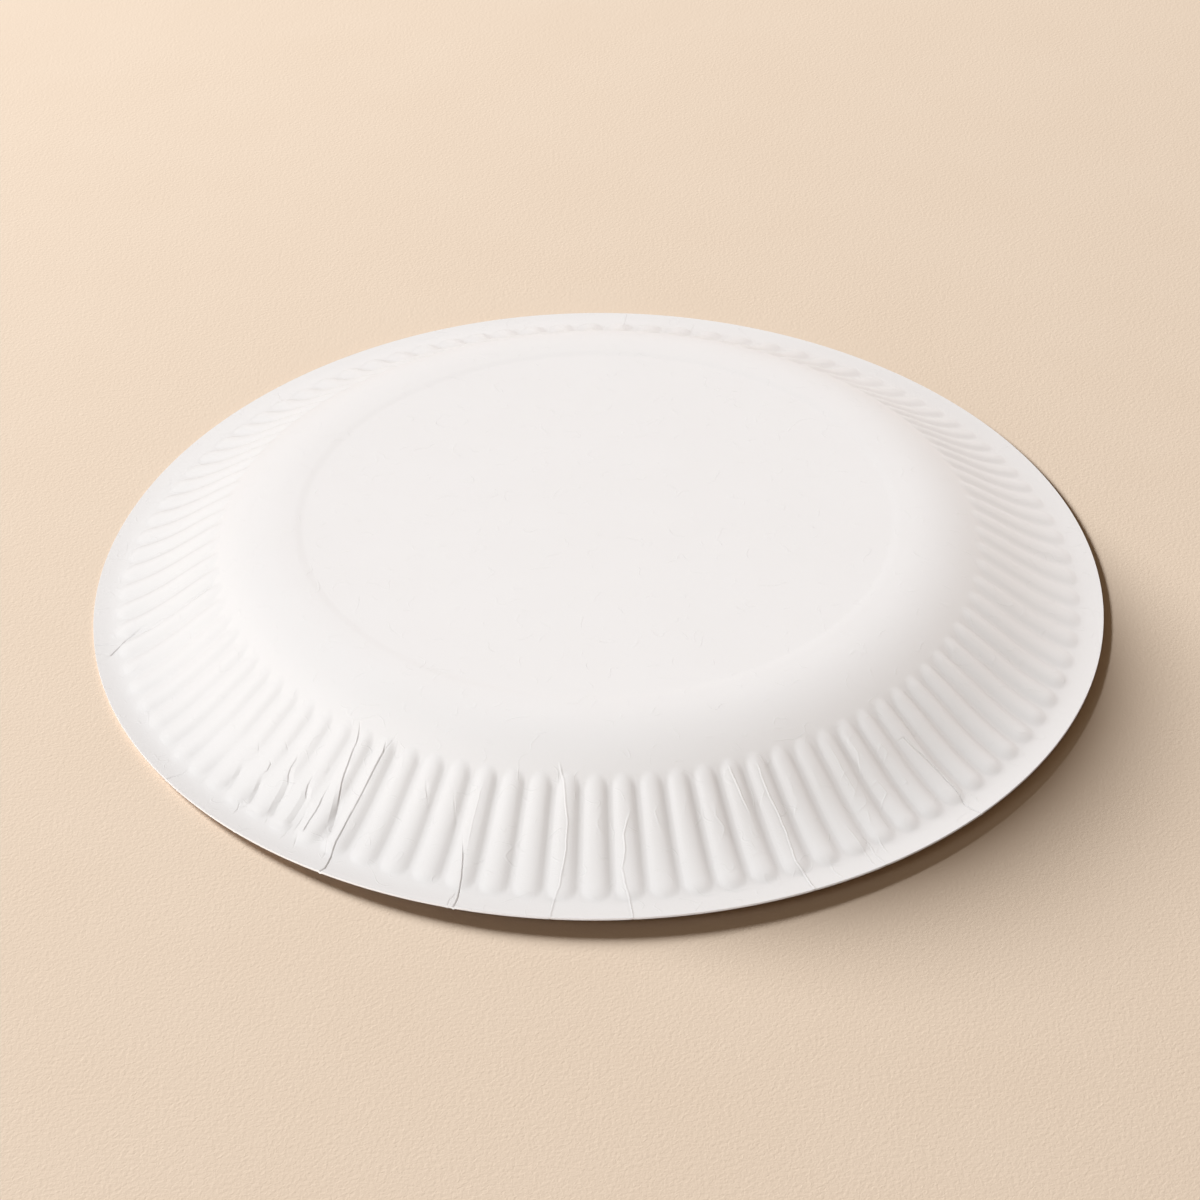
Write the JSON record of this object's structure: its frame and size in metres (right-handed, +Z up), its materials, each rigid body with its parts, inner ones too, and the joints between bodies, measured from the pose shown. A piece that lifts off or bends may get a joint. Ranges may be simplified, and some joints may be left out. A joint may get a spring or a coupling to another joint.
{
  "type": "paper plate",
  "caption": "Round white pressed paper plate with a flat base, radial flutes round its sloping wall and a narrow rim, lying upside down on the rim.",
  "frame": {"origin": "centre of the surface that the upside-down plate lies on, under the plate's axis", "axes": "+Z up along the plate's axis, out of the underside of the plate; +X to the right and -Y towards the viewer of the picture"},
  "size_m": [0.23, 0.2301, 0.0206],
  "materials": {
    "board": "matte"
  },
  "bodies": {
    "root": {"plate": "board"}
  },
  "joints": []
}
